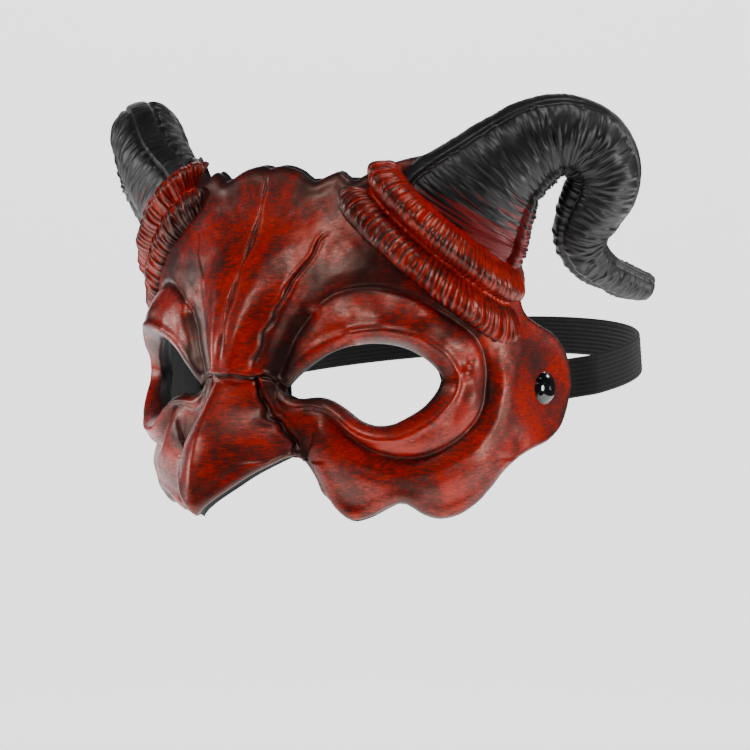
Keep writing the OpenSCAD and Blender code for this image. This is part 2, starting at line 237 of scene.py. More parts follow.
def planRadius(phi):
    # a squared ellipse: |sin/width|^n + |cos/depth|^n = r^-n
    n = face["squareness"]
    return (np.abs(np.sin(phi) / face["halfWidth"]) ** n
            + np.abs(np.cos(phi) / face["depth"]) ** n) ** (-1 / n)


def beakForward(u, z, narrower):
    # across, 1 - (u / half)^power with a blunt top, on a ridge that rises as a quarter sine
    ridge = (face["bridgeOut"] + (face["beakOut"] - face["bridgeOut"])
             * np.sin(math.pi / 2 * np.clip((-5 - z) / 43, 0, 1))
             - 7 * np.maximum(0, (-48 - z) / 10) ** 2)
    half = through(-z, face["beakHalf"]) - narrower
    return ridge * (1 - np.clip(np.hypot(u, 0.9) / half, 0, 1) ** face["beakPower"])


def browForward(u, z):
    # a squared cosine up the brow, faded across by 3t^2 - 2t^3
    height = 9.4 * np.cos(math.pi / 2 * np.clip((z - 8) / 50, 0, 1)) ** 2
    return height * (1 - ramp(0.25, 1, np.abs(u) / through(z, face["panelHalf"])))


def headPoint(u, z, out=0.0):
    # u over the pattern's radius is the angle round the plan; the height adds the lean
    phi = u / face["patternRadius"]
    r = planRadius(phi) + out
    return np.stack([r * np.sin(phi), axisY - r * np.cos(phi) + leanBack(z), z + 0 * u], -1)


def facePoint(u, z, out=0.0, narrower=0.0):
    # the head's point moved forward by the brow above the bridge and the beak below it
    share = ramp(-5.5, -3, z)
    forward = beakForward(u, z, narrower) * (1 - share) + browForward(u, z) * share
    p = headPoint(u, z, out)
    p[..., 1] -= forward
    return p


def ontoLand(p, x):
    # flat within the land's radius of the rivet, blended back to the face past it
    far = np.hypot(p[:, 1] - rivetAt.y, p[:, 2] - rivetAt.z)
    w = 1 - ramp(face["landRadius"], face["landRadius"] + face["landFade"], far)
    q = p.copy()
    q[:, 0] += (np.sign(p[:, 0]) * x - p[:, 0]) * w
    return q


eyeEdge = curveThrough([
    (19.8, -8.6), (23.5, -4.1), (30.4, 1.4), (37.5, 5.8), (46.5, 8.6), (55.5, 9), (64.8, 7.1),
    (72.4, 2.9), (77.3, -1.4), (78.5, -5), (76.4, -9.1), (71.4, -14.1), (65.5, -17.6),
    (59, -20.5), (52.6, -21), (47.2, -19.1), (42, -15), (36.8, -11.9), (32.1, -10.9),
    (25.2, -11.5), (21.4, -10.6)], 12, True)
eyeEdge = np.concatenate([eyeEdge, eyeEdge[:1]])
ringCrease = curveThrough([
    (16.5, -7), (17.4, -3), (19.5, 1.5), (22.5, 8.5), (26, 16), (31.8, 23.5), (38, 27.5),
    (46, 29.2), (54, 28.8), (64.7, 25.7), (74.6, 20.6), (85.5, 14.3), (92.5, 8), (96.1, 0.5),
    (95.6, -8), (92, -17.4), (85.2, -24.4), (75, -30), (65.5, -32.5), (56.2, -31.8),
    (48.5, -28.6), (43, -23.8), (38.5, -18.6), (34, -15.6), (28, -15), (22.5, -15.6), (18, -12.5)],
    12, True)
ringCrease = np.concatenate([ringCrease, ringCrease[:1]])
outline = curveThrough([
    (0, 72.6), (4, 73.6), (9, 73), (14, 71.2), (18, 68.8), (21, 68.1), (24.5, 70), (29, 71.4),
    (32.5, 69.4), (35, 68.2), (39.5, 70.8), (46, 74), (58, 77), (71, 76), (83, 70), (93.5, 58),
    (101, 42), (109.5, 25), (114.3, 19), (121.3, 15.4), (131.6, 11.4), (140.4, 5.6), (144.6, -0.4),
    (146, -6.8), (144.4, -12), (141.2, -18), (136, -23.8), (127, -28.2), (115.9, -31.3),
    (107.3, -34.8), (100, -39.4), (93.5, -45.2), (87.8, -49.8), (79.5, -54), (71.6, -55.4),
    (65.8, -53.9), (62, -51.2), (58.7, -49.4), (53.5, -51.2), (46.3, -54.7), (39.5, -56.2),
    (34.6, -52.8), (31.8, -46.8), (30.2, -40.4), (28, -35.2), (25.6, -31.8), (23.4, -32.3),
    (20.6, -35), (16.8, -38.6), (12, -43.6), (5, -49.8), (0, -54)], 12, False, (45,))


def latticeHalf(us, zs):
    # a rectangular lattice over half the pattern. Cells with a corner inside are kept, and
    # their outside corners move to the nearest place on the edge
    u, z = np.meshgrid(us, zs, indexing="ij")
    points = np.stack([u.ravel(), z.ravel()], 1)
    closed = np.concatenate([outline, [(-30, -54), (-30, 72.6)]])
    inside = isInside(points + (1e-4, 1e-4), closed) & ~isInside(points + (1e-4, 1e-4), eyeEdge)
    cells = gridFaces(len(us), len(zs))
    corner = inside[cells]
    cells = cells[corner.any(1)]
    used = np.unique(cells)
    place = points.copy()
    out = used[~inside[used]]
    dEdge, _, toEdge = nearest(points[out], outline)
    dEye, _, toEye = nearest(points[out], eyeEdge)
    target = np.where((dEdge < dEye)[:, None], toEdge, toEye)
    target[points[out][:, 0] == 0, 0] = 0
    place[out] = target
    key = np.round(place[used] / 0.03).astype(np.int64)
    _, first, back = np.unique(key, axis=0, return_index=True, return_inverse=True)
    number = np.zeros(len(points), np.int64)
    number[used] = back.ravel()
    cells = number[cells]
    spots = place[used][first]
    # a cell with two corners merged becomes a triangle
    same = np.stack([cells[:, k] == cells[:, (k + 1) % 4] for k in range(4)], 1)
    quads = cells[same.sum(1) == 0]
    three = cells[same.sum(1) == 1]
    drop = same[same.sum(1) == 1].argmax(1)
    keep = np.stack([(drop + k) % 4 for k in (1, 2, 3)], 1)
    tris = np.take_along_axis(three, keep, 1)
    return spots, quads, tris


def mirrorSheet(spots, quads, tris):
    # adds the half at -u, sharing the vertices on the centre line
    middle = spots[:, 0] == 0
    extra = np.where(~middle)[0]
    other = np.arange(len(spots))
    other[extra] = len(spots) + np.arange(len(extra))
    full = np.concatenate([spots, spots[extra] * (-1, 1)])
    source = np.concatenate([np.arange(len(spots)), extra])
    return (full, np.concatenate([quads, other[quads][:, ::-1]]),
            np.concatenate([tris, other[tris][:, ::-1]]), source)


def borderOf(quads, tris):
    # directed edges that no other face shares the other way round
    edges = np.concatenate([quads[:, [k, (k + 1) % 4]] for k in range(4)]
                           + [tris[:, [k, (k + 1) % 3]] for k in range(3)])
    size = edges.max() + 1
    ahead = edges[:, 0] * size + edges[:, 1]
    behind = edges[:, 1] * size + edges[:, 0]
    return edges[~np.isin(ahead, behind)]


def isClean(quads, tris):
    # no edge is used twice the same way, and the border leaves each vertex once
    edges = np.concatenate([quads[:, [k, (k + 1) % 4]] for k in range(4)]
                           + [tris[:, [k, (k + 1) % 3]] for k in range(3)])
    code = edges[:, 0] * (edges.max() + 1) + edges[:, 1]
    border = borderOf(quads, tris)
    return (len(np.unique(code)) == len(code)
            and len(np.unique(border[:, 0])) == len(border) == len(np.unique(border[:, 1])))


def cleanSheet(us, zs):
    # the lattice is shifted up a little until it meets the curves without a fold
    for shift in np.arange(0, 0.5, 0.05) * (zs[1] - zs[0]):
        spots, quads, tris = latticeHalf(us, zs + shift)
        if isClean(quads, tris):
            return spots, quads, tris
    raise ValueError("every lattice folds at its border")


def loopsOf(edges):
    # each closed border as vertices in order: the walk doubles its length at every step
    follow = np.full(edges.max() + 1, -1)
    follow[edges[:, 0]] = edges[:, 1]
    left = set(edges[:, 0].tolist())
    loops = []
    while left:
        walk, jump = np.array([min(left)]), follow.copy()
        while True:
            longer = np.concatenate([walk, jump[walk]])
            if walk[0] in longer[1:]:
                loop = longer[:1 + int(np.argmax(longer[1:] == walk[0]))]
                break
            walk = longer
            jump = np.where(jump >= 0, jump[np.maximum(jump, 0)], -1)
        loops.append(loop)
        left -= set(loop.tolist())
    return loops


def stitch(loopA, loopB, place):
    # triangles between two closed loops that run the same way: at each step the loop whose
    # next vertex comes first round the shape moves on
    def share(loop, start):
        # the loop from its vertex nearest the start, and how far round each vertex is
        p = place[loop]
        k = int(np.argmin(((p - start) ** 2).sum(1)))
        loop = np.roll(loop, -k)
        p = place[np.concatenate([loop, loop[:1]])]
        run = np.concatenate([[0], np.cumsum(np.linalg.norm(np.diff(p, axis=0), axis=1))])
        return loop, run / run[-1]
    start = place[loopA[0]]
    loopA, runA = share(loopA, start)
    loopB, runB = share(loopB, start)
    nA, nB = len(loopA), len(loopB)
    key = np.concatenate([(runA[1:] + runA[:-1]) / 2, (runB[1:] + runB[:-1]) / 2])
    isA = np.concatenate([np.ones(nA, bool), np.zeros(nB, bool)])[np.argsort(key, kind="stable")]
    a = np.concatenate([[0], np.cumsum(isA)[:-1]])
    b = np.concatenate([[0], np.cumsum(~isA)[:-1]])
    a1, b1 = loopA[(a + 1) % nA], loopB[(b + 1) % nB]
    a0, b0 = loopA[a % nA], loopB[b % nB]
    return np.where(isA[:, None], np.stack([a0, a1, b0], 1), np.stack([a0, b1, b0], 1))


# crooked grooves on the forehead and beside the beak: points, width and depth in millimetres
cracks = [
    {"points": [(0.3, 70), (-0.6, 58), (0.8, 46), (-0.5, 36), (0.5, 26), (-0.4, 16), (0.2, 8), (0, 3)],
     "width": 0.5, "depth": 0.9},
    {"points": [(30.5, 49), (27.6, 46.2), (26.4, 41), (24, 37), (21.4, 33), (19.4, 28.8), (17.8, 24.5),
                (15.8, 20.5), (14.9, 16.5), (12.8, 12.5), (11.8, 7), (9.9, 2), (9, -2)],
     "width": 0.55, "depth": 1.1},
]
beakFold = [(9.4, -4.5), (10.4, -8), (11.2, -11), (13.4, -14.4), (15, -18), (18.4, -20.2), (20.2, -23.2),
            (23.6, -26.6), (24.2, -29.5), (25.4, -32)]
bridgeFold = [(0, -3.2), (4, -3.0), (8, -4.0), (12, -3.4), (16, -5.0), (19.5, -8.4)]
rootValley = [(18.5, -7), (18.6, -1), (20.8, 6), (24, 13.5), (28, 19.5)]

shellPlan = {
    "rimIn": 4.4, "rimRidge": 1.5, "cheekRoll": 3.0, "edgeRound": 1.7,
    "fineU": [(0, 0.40), (36, 0.46), (60, 0.62), (90, 0.72), (146, 0.95)], "stepZ": 0.58,
    "coarse": 2.4, "rimRows": 3,
}
coarsen = 1.0


def linesBySpacing(pairs, last, scale):
    # places from 0 to last whose spacing follows the (place, spacing) pairs
    x = np.linspace(0, last, 4000)
    spacing = np.interp(x, *np.array(pairs, float).T) * scale
    count = np.concatenate([[0], np.cumsum((1 / spacing[1:] + 1 / spacing[:-1]) / 2 * np.diff(x))])
    n = int(math.ceil(count[-1]))
    return np.interp(np.linspace(0, count[-1], n + 1), count, x)


def shellRelief(u, z):
    # height over the smooth face and darkness in the hollows, from the distances to the
    # eye's edge, the crease round its ring, the outline and the folds. The darkness is painted
    # shade on the rim's wall, in the crease, the valley and the folds, darker along the cracks,
    # and the black paint of the edges
    p = np.stack([u, z], 1)
    dEye, _, _ = nearest(p, eyeEdge)
    dCrease, _, toCrease = nearest(p, ringCrease)
    dEdge, _, _ = nearest(p, outline)
    inRing = isInside(p + (1e-4, 1e-4), ringCrease)
    spread = ramp(20, 40, toCrease[:, 0])           # the ring fades towards the nose
    outerHalf = ramp(24, 46, toCrease[:, 0])
    wobble = noise3(np.stack([u / 9, z / 9, 0 * u], 1), 3)
    fine = noise3(np.stack([u / 3.1, z / 3.1, 0 * u], 1), 4)

    height = np.zeros(len(u))
    dark = np.zeros(len(u))

    # the eye's rim turns in from a ridge, and the ring swells out to its crease
    rimWidth = 3.0
    wall = 1 - np.sin(math.pi / 2 * np.clip(dEye / rimWidth, 0, 1)) ** 0.8
    ridge = bell(dEye - rimWidth - 1.1, 1.7)
    acrossRing = dEye / np.maximum(dEye + dCrease, 0.1)
    swell = np.sin(math.pi * np.clip(acrossRing, 0, 1)) * inRing
    corner = ramp(64, 78, u)
    height += -shellPlan["rimIn"] * (0.35 + 0.65 * spread) * (1 - 0.6 * corner) * wall
    height += 1.5 * corner * (bell(z - 9, 7) + bell(z + 12, 7)) * ramp(0, 4, dEye) * (1 - ramp(88, 100, u))
    height += shellPlan["rimRidge"] * (0.3 + 0.7 * spread) * ridge * inRing
    height += (1.6 + 0.5 * wobble) * swell * spread
    # painted shade on the rim's inward wall
    dark += 0.55 * wall * (dEye < 2.2)

    # the crease, and outside it the roll of the cheek and the brow
    lower = ramp(6, -10, z)
    crease = bell(dCrease, 1.25 + 0.3 * wobble)
    height -= (1.1 + 0.3 * wobble) * crease * (0.35 + 0.65 * outerHalf)
    # painted shade along the crease, with a dark glaze in it
    dark += 0.35 * bell(dCrease, 1.9) * (0.5 + 0.5 * outerHalf)
    beyond = np.where(inRing, 0, dCrease)
    roll = ramp(0, 6.5, beyond) * (1 - ramp(9, 24, beyond)) * ~inRing
    height += shellPlan["cheekRoll"] * roll * outerHalf * (0.45 + 0.55 * lower)

    # a pimple at the ring's outer corner
    height += 1.3 * bell(np.hypot(u - 86, z + 2), 2.4) - 0.9 * bell(np.hypot(u - 88.5, z - 2), 1.8)

    # the valley at the nose's root
    dValley, _, _ = nearest(p, curveThrough(rootValley, 8))
    height -= 2.2 * bell(dValley, 3.0)
    # painted shade in the deep valley, fading out up the brow
    dark += 0.95 * bell(dValley, 3.6) * (1 - ramp(0, 15, z))

    # the folds between beak and brow, and beak and cheek
    for points, depth, width in ((bridgeFold, 1.2, 0.6), (beakFold, 1.15, 0.55)):
        d, _, _ = nearest(p, curveThrough(points, 8))
        height -= depth * bell(d, width) * (1 + 0.25 * fine)
        height += 0.45 * bell(d - 1.4, 0.7)
        # painted shade in the folds, and darker in a band beside them where u is over 12 mm
        dark += 0.9 * bell(d, 0.55) + 0.3 * bell(d - 2, 2.5) * (u > 12)

    # crooked cracks with raised lips that thin out at their ends
    cut = np.zeros(len(u))
    crackDark = np.zeros(len(u))
    for crack in cracks:
        line = curveThrough(crack["points"], 8)
        d, along, _ = nearest(p, line)
        length = np.linalg.norm(np.diff(line, axis=0), axis=1).sum()
        end = ramp(0, 6, along) * ramp(0, 6, length - along)
        d = np.abs(d + 0.25 * fine)
        groove = -crack["depth"] * bell(d, crack["width"]) * (0.25 + 0.75 * end)
        groove += 0.36 * bell(d - 1.35, 0.7) * end
        cut += groove
        # darker along each crack, less towards its ends
        crackDark += 0.85 * bell(d, 0.55) * (0.3 + 0.7 * end)

    # rounded edges, and a thickened lip along the scallops
    r = shellPlan["edgeRound"]
    inner = np.clip(r - dEdge, 0, r)
    height -= r - np.sqrt(np.maximum(r * r - inner * inner, 0))
    lip = (z > 55) | (z < -34)
    height += 0.6 * bell(dEdge - 3.2, 2.2) * lip
    dark += 0.5 * bell(dEdge, 1.6)

    # hand-worked unevenness
    height += 0.30 * wobble + 0.10 * fine
    height += 0.55 * noise3(np.stack([u / 21, z / 17, 0 * u], 1), 5) * ramp(4, 14, dEye)
    # brow and cheek stand a little fuller at their widest
    height += 3.4 * bell(np.hypot((u - 62) / 1.5, z - 15), 11)
    height += 2.6 * bell(np.hypot((u - 62) / 1.6, z + 22), 10)
    return height, cut, dark, crackDark


# where the undercoat shows through, and painted shade in the valley at the nose's root and between the brow
# and the eye's ring: place, radius and amount
undercoatAndShade = [
    (64, 62, 16, 0.75), (34, 66, 10, 0.7), (20, 66, 8, 0.7), (4, 72, 8, 0.6), (76, 66, 14, 0.8),
    (30, 32, 7, 0.75), (44, 36, 9, 0.8), (58, 40, 10, 0.7), (72, 34, 10, 0.7), (86, 26, 9, 0.7),
    (16, 6, 7, 0.6), (22, 16, 6, 0.8), (22, 2, 5, 0.9), (14, 38, 7, 0.45), (10, 22, 5, 0.4),
    (110, 4, 7, 0.5), (122, 2, 8, 0.5), (100, -22, 8, 0.4), (134, -16, 9, 0.5), (90, -40, 9, 0.35),
    (64, -46, 9, 0.45), (42, -44, 8, 0.5), (30, -26, 6, 0.5), (32, -12, 6, 0.45), (58, 14, 9, 0.4),
    (8, -20, 7, 0.35), (12, -34, 7, 0.45), (4, -46, 7, 0.4), (78, 12, 8, 0.45), (92, -10, 7, 0.5),
]


def undercoatAndShadeAt(u, z):
    # the greatest of soft round patches, roughened by noise
    amount = np.zeros(len(u))
    rough = 1 + 0.35 * noise3(np.stack([u / 5, z / 5, 0 * u], 1), 8)
    for x, y, radius, share in undercoatAndShade:
        amount = np.maximum(amount, share * bell(np.hypot(u - x, z - y) * rough, 1.15 * radius))
    return amount


def makeShell():
    # outer face plus its relief along the normal, a coarser inner face, and rims between
    us = linesBySpacing(shellPlan["fineU"], 147, coarsen)
    zs = np.arange(-57.5, 78.5, shellPlan["stepZ"] * coarsen)
    spots, quads, tris = cleanSheet(us, zs)
    height, cut, dark, crackDark = shellRelief(spots[:, 0], spots[:, 1])
    full, quads, tris, source = mirrorSheet(spots, quads, tris)
    # the cracks are faint on the wearer's right
    share = np.where(full[:, 0] < -4, 0.2, 0.65)
    height = height[source] + cut[source] * share
    dark = np.clip(dark[source] + crackDark[source] * share, 0, 1.5)
    print("shell: outer face", len(full), "vertices")
    undercoatAndShadeShare = undercoatAndShadeAt(np.abs(full[:, 0]), full[:, 1])

    base = facePoint(full[:, 0], full[:, 1])
    step = 0.5
    across = (facePoint(full[:, 0] + step, full[:, 1]) - facePoint(full[:, 0] - step, full[:, 1]))
    up = (facePoint(full[:, 0], full[:, 1] + step) - facePoint(full[:, 0], full[:, 1] - step))
    out = np.cross(across, up)
    out /= np.linalg.norm(out, axis=1, keepdims=True)
    outer = ontoLand(base + out * height[:, None], face["landX"])

    # the inside: a coarser sheet under the same pattern
    gap = shellPlan["coarse"] * coarsen
    spotsIn, quadsIn, trisIn = cleanSheet(np.arange(0, 147 + gap, gap), np.arange(-57.5, 80, gap))
    dIn, _, _ = nearest(spotsIn, eyeEdge)
    nose = 0.35 + 0.65 * ramp(12, 36, spotsIn[:, 0])
    sunk = -face["wall"] - (shellPlan["rimIn"] * 0.6) * nose * (1 - ramp(0, 3.5, dIn))
    fullIn, quadsIn, trisIn, sourceIn = mirrorSheet(spotsIn, quadsIn, trisIn)
    inner = ontoLand(facePoint(fullIn[:, 0], fullIn[:, 1], sunk[sourceIn], 0.6 * face["wall"]),
                     face["landX"] - face["wall"])

    # the rims: rows that bulge from the outer border to the inner one
    verts, patterns = [outer, inner], [full, fullIn]
    # the hollowShade attribute: painted shade and black edges on the outer face, full on the black inside
    shade = [dark, np.full(len(inner), 1.0)]
    undercoatAndShadeParts = [undercoatAndShadeShare, np.full(len(inner), 1.0)]
    side = [np.zeros(len(outer)), np.ones(len(inner))]
    number = len(outer) + len(inner)
    allQuads = [quads, quadsIn[:, ::-1] + len(outer)]
    allTris = [tris, trisIn[:, ::-1] + len(outer)]
    outerLoops = loopsOf(borderOf(quads, tris))
    innerLoops = loopsOf(borderOf(quadsIn, trisIn))
    rows = shellPlan["rimRows"]
    for loop in outerLoops:
        centre = full[loop].mean(0)
        match = min(innerLoops, key=lambda other: np.linalg.norm(fullIn[other].mean(0) - centre))
        place, placeIn = full[loop], fullIn[match]
        # where the inner border lies opposite each outer vertex
        dist = ((place[:, None] - placeIn[None]) ** 2).sum(-1)
        near = dist.argmin(1)
        sink = (inner[match][near] - outer[loop])
        sink = sum(np.roll(sink, k, 0) for k in range(-4, 5)) / 9
        tangent = np.roll(outer[loop], -1, 0) - np.roll(outer[loop], 1, 0)
        outward = np.cross(tangent, sink)
        outward /= np.maximum(np.linalg.norm(outward, axis=1, keepdims=True), 1e-9)
        last = loop
        for k in range(1, rows + 1):
            t = k / (rows + 1)
            bulge = 0.55 * math.sin(math.pi * t)
            ring = outer[loop] + sink * t + outward * bulge
            ids = number + np.arange(len(loop))
            number += len(loop)
            verts.append(ring)
            patterns.append(place)
            shade.append(np.full(len(loop), 0.8))
            undercoatAndShadeParts.append(np.full(len(loop), 0.6))
            side.append(np.full(len(loop), 0.5 + 0.4 * t))
            after = np.roll(last, -1), np.roll(ids, -1)
            allQuads.append(np.stack([last, ids, after[1], after[0]], 1))
            last = ids
        both = np.concatenate(verts)
        strip = stitch(last, match + len(outer), both)
        allTris.append(strip[:, ::-1])
    verts = np.concatenate(verts)
    patterns = np.concatenate(patterns)
    allQuads, allTris = np.concatenate(allQuads), np.concatenate(allTris)
    piece = makePiece("maskShell", verts, allQuads, allTris,
                      {"hollowShade": np.concatenate(shade), "inside": np.concatenate(side),
                       "undercoatAndShade": np.concatenate(undercoatAndShadeParts)},
                      patterns / 100)
    print("shell: triangles", 2 * len(allQuads) + len(allTris))
    return piece


shell = makeShell()
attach(shell, "mask")
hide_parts("mask_shell")


# horns and collars are built on the wearer's left and mirrored
root = np.array([69.268, 55.726, 58.5])
longAxis = np.array([0.56, 0.54, -0.63])
longAxis /= np.linalg.norm(longAxis)
upAxis = np.array([0.6, 0.12, 0.79])
upAxis -= upAxis @ longAxis * longAxis
upAxis /= np.linalg.norm(upAxis)
shortAxis = np.cross(upAxis, longAxis)
seat = 1.2   # least depth of horns and collars in the shell


def offTheHead(p, sink):
    # points below the head's surface move out to it, less the sink, along the plan's radius
    z = p[:, 2]
    back = leanBack(z)
    dx, dy = p[:, 0], axisY - (p[:, 1] - back)
    phi, r = np.arctan2(dx, dy), np.hypot(dx, dy)
    least = planRadius(phi) - sink - 20 * (np.clip((z - 68) / 30, 0, None)) ** 1.5
    r2 = np.maximum(r, least)
    q = p.copy()
    q[:, 0], q[:, 1] = r2 * np.sin(phi), axisY - r2 * np.cos(phi) + back
    return q


def framesAlong(path, first):
    # the tangent, the first direction carried along without turning, and their cross product
    heads = np.gradient(path, axis=0)
    heads /= np.linalg.norm(heads, axis=1, keepdims=True)
    v = np.array(first, float)
    dirs = []
    for t in heads:
        v = v - (v @ t) * t
        v = v / np.linalg.norm(v)
        dirs.append(v)
    dirs = np.array(dirs)
    sides = np.cross(heads, dirs)
    return heads, dirs, sides


horn = {
    "line": [(-7, -1.5, -12), (0, 0, 0), (13, 3.5, 14.5), (23.5, 11.5, 24), (31.5, 18, 26.5),
             (37.5, 25, 23), (40, 30, 15), (38, 32, 6.5), (33.5, 31.5, -1.5), (29.5, 32, -8),
             (27.8, 34, -13.5), (28, 37.5, -18.5), (29.8, 45, -23.5), (32.8, 54, -27.5), (36.3, 62, -30)],
    "width": [52, 50, 36, 30, 27.2, 26.6, 26, 25.2, 23, 20.6, 18.4, 16, 13.6, 12.6, 11],
    "flat": [0.48, 0.5, 0.76, 0.92, 1, 1, 1, 1, 1, 1, 1, 1, 1, 1, 1],
    "rows": 470, "around": 180, "bead": 0.66, "band": 0.34,
}


def makeHorn(side):
    # elliptical rings along a curve through the line's points, plus ribs along the normal
    steps = 40
    control = curveThrough(np.column_stack([horn["line"], horn["width"], horn["flat"]]), steps)
    run = np.concatenate([[0], np.cumsum(np.linalg.norm(np.diff(control[:, :3], axis=0), axis=1))])
    rows = int(horn["rows"] / coarsen)
    around = int(horn["around"] / coarsen)
    s = np.linspace(0, run[-1], rows)
    fine = np.stack([np.interp(s, run, control[:, k]) for k in range(5)], 1)
    path, wide, flat = root + fine[:, :3], fine[:, 3] / 2, fine[:, 4]
    heads, dirs, sides = framesAlong(path, longAxis)

    # the curl's inner side: where the path bends to, averaged along the horn
    bend = np.gradient(heads, axis=0)
    part = (s > 0.18 * s[-1]) & (s < 0.62 * s[-1])
    inner = math.atan2((bend * sides).sum(1)[part].sum(), (bend * dirs).sum(1)[part].sum())
    print("horn: length", round(float(s[-1]), 1), "inner side at", round(math.degrees(inner)))

    a = np.arange(around) / around * 2 * math.pi
    S, A = np.meshgrid(s, a, indexing="ij")
    off = np.angle(np.exp(1j * (A - inner)))       # from the inner side
    ra = wide[:, None] * np.ones_like(A)
    rb = (wide * flat)[:, None] * np.ones_like(A)
    ring = np.stack([ra * np.cos(A), rb * np.sin(A)], -1)
    base = (path[:, None] + ring[..., :1] * dirs[:, None] + ring[..., 1:] * sides[:, None])
    normal = np.stack([np.cos(A) / ra, np.sin(A) / rb], -1)
    normal /= np.linalg.norm(normal, axis=-1, keepdims=True)
    normal = normal[..., :1] * dirs[:, None] + normal[..., 1:] * sides[:, None]

    # sections: a bead down the inner curve, a smooth band up the outer one, wrinkles between
    mean = (wide * (1 + flat) / 2)[:, None] * np.ones_like(A)
    across = np.abs(off) * mean
    beadHalf = horn["bead"] * mean
    bandFrom = (math.pi - horn["band"]) * mean
    size = np.clip(mean / 13, 0.55, 1.3)
    inBead = across < beadHalf
    relief = 1.5 * size * np.sqrt(np.clip(1 - (across / beadHalf) ** 2, 0, 1)) * inBead
    relief -= 1.9 * size * bell(across - beadHalf, 1.25)
    relief -= 0.75 * size * bell(across - bandFrom, 0.8)
    relief += 0.35 * size * ramp(0, 2, across - bandFrom)
    smooth = ramp(-1.5, 1.2, across - bandFrom)

    # wrinkles: noise fine along the horn and slow round it, on a wandering beat
    turn = np.stack([np.cos(A), np.sin(A)], -1)
    wander = noise3(np.stack([S / 7, turn[..., 0] * 1.6, turn[..., 1] * 1.6], -1), 11)
    wrinkle = noise3(np.stack([S / 0.85 + 1.6 * wander, turn[..., 0] * 2.0, turn[..., 1] * 2.0], -1), 12)
    fineWrinkle = noise3(np.stack([S / 0.45 + wander, turn[..., 0] * 4, turn[..., 1] * 4], -1), 13)
    broad = noise3(np.stack([S / 6, turn[..., 0] * 2, turn[..., 1] * 2], -1), 14)
    beat = np.sin(2 * math.pi * (S / 3.3 + 0.35 * wander))
    deep = 1 - 0.82 * smooth
    fadeTip = 0.45 + 0.55 * (1 - ramp(0.78, 0.97, S / s[-1]))
    waves = (0.58 * wrinkle + 0.18 * fineWrinkle + np.where(inBead, 0.06, 0.05) * beat) * deep * fadeTip
    relief += waves * size ** 0.5 + 0.35 * broad

    verts = base + relief[..., None] * normal
    verts = verts.reshape(-1, 3)
    # round the tip off with rings that shrink as a quarter circle, closed on a pole
    tipRows = 14
    tip = wide[-1] + 0.3
    last = verts.reshape(rows, around, 3)[-1]
    centre = last.mean(0)
    rings = []
    for k in range(1, tipRows):
        q = math.pi / 2 * k / tipRows
        rings.append(centre + (last - centre) * math.cos(q) + heads[-1] * tip * 0.42 * math.sin(q))
    pole = centre + heads[-1] * tip * 0.42
    first = verts.reshape(rows, around, 3)[0].mean(0)
    verts = np.concatenate([verts, *rings, [pole, first]])
    rowsAll = rows + tipRows - 1
    quads = gridFaces(rowsAll, around, closeCols=True)[:, ::-1]
    ids = np.arange(around)
    end = (rowsAll - 1) * around
    tris = np.concatenate([
        np.stack([end + ids, end + (ids + 1) % around, np.full(around, len(verts) - 2)], 1),
        np.stack([(ids + 1) % around, ids, np.full(around, len(verts) - 1)], 1)])
    verts = offTheHead(verts, seat)
    # painted shade in the hollows between the wrinkles
    hollowShade = -hollowness(verts, normalsOf(verts, quads, tris), quads, 4) * 4

    # red overspray on the front of the base
    height = S / s[-1]
    front = -(normal @ shortAxis)
    spray = (1 - ramp(0.06, 0.19, height + 0.05 * wander + 0.05 * wrinkle
                      - 0.10 * (normal @ longAxis))) * ramp(-0.1, 0.5, front)
    tail = len(verts) - spray.size
    return finishHalf("horn", verts, quads, tris, side, {
        "hollowShade": hollowShade, "spray": np.concatenate([spray.ravel(), np.zeros(tail)]),
        "smooth": np.concatenate([smooth.ravel(), np.full(tail, 0.3)])})


def finishHalf(name, verts, quads, tris, side, attributes, uv=None):
    # the right-hand copy is a mirror image with its faces turned over
    if side < 0:
        verts = verts * (-1, 1, 1)
        quads = quads[:, ::-1]
        tris = tris[:, ::-1] if tris is not None else None
    return makePiece(name + ("Left" if side > 0 else "Right"), verts, quads, tris, attributes, uv)


collar = {
    "low": [(-12.3, -4.6, -20.2), 34, 12.5], "high": [(-6.5, -1.8, -7.6), 30, 14.5],
    "section": [(-0.50, -3), (-0.44, 3.6), (-0.26, 6.5), (-0.03, 7.5), (0.22, 6.1), (0.38, 3.2),
                (0.47, 1.2), (0.56, 2.2), (0.72, 4.9), (0.96, 6.3), (1.18, 4.4), (1.33, 1.4),
                (1.38, -4), (0.9, -6.5), (0.3, -8)],
    "around": 620, "across": 116, "pitch": 2.7, "ellipse": (34, 19),
}


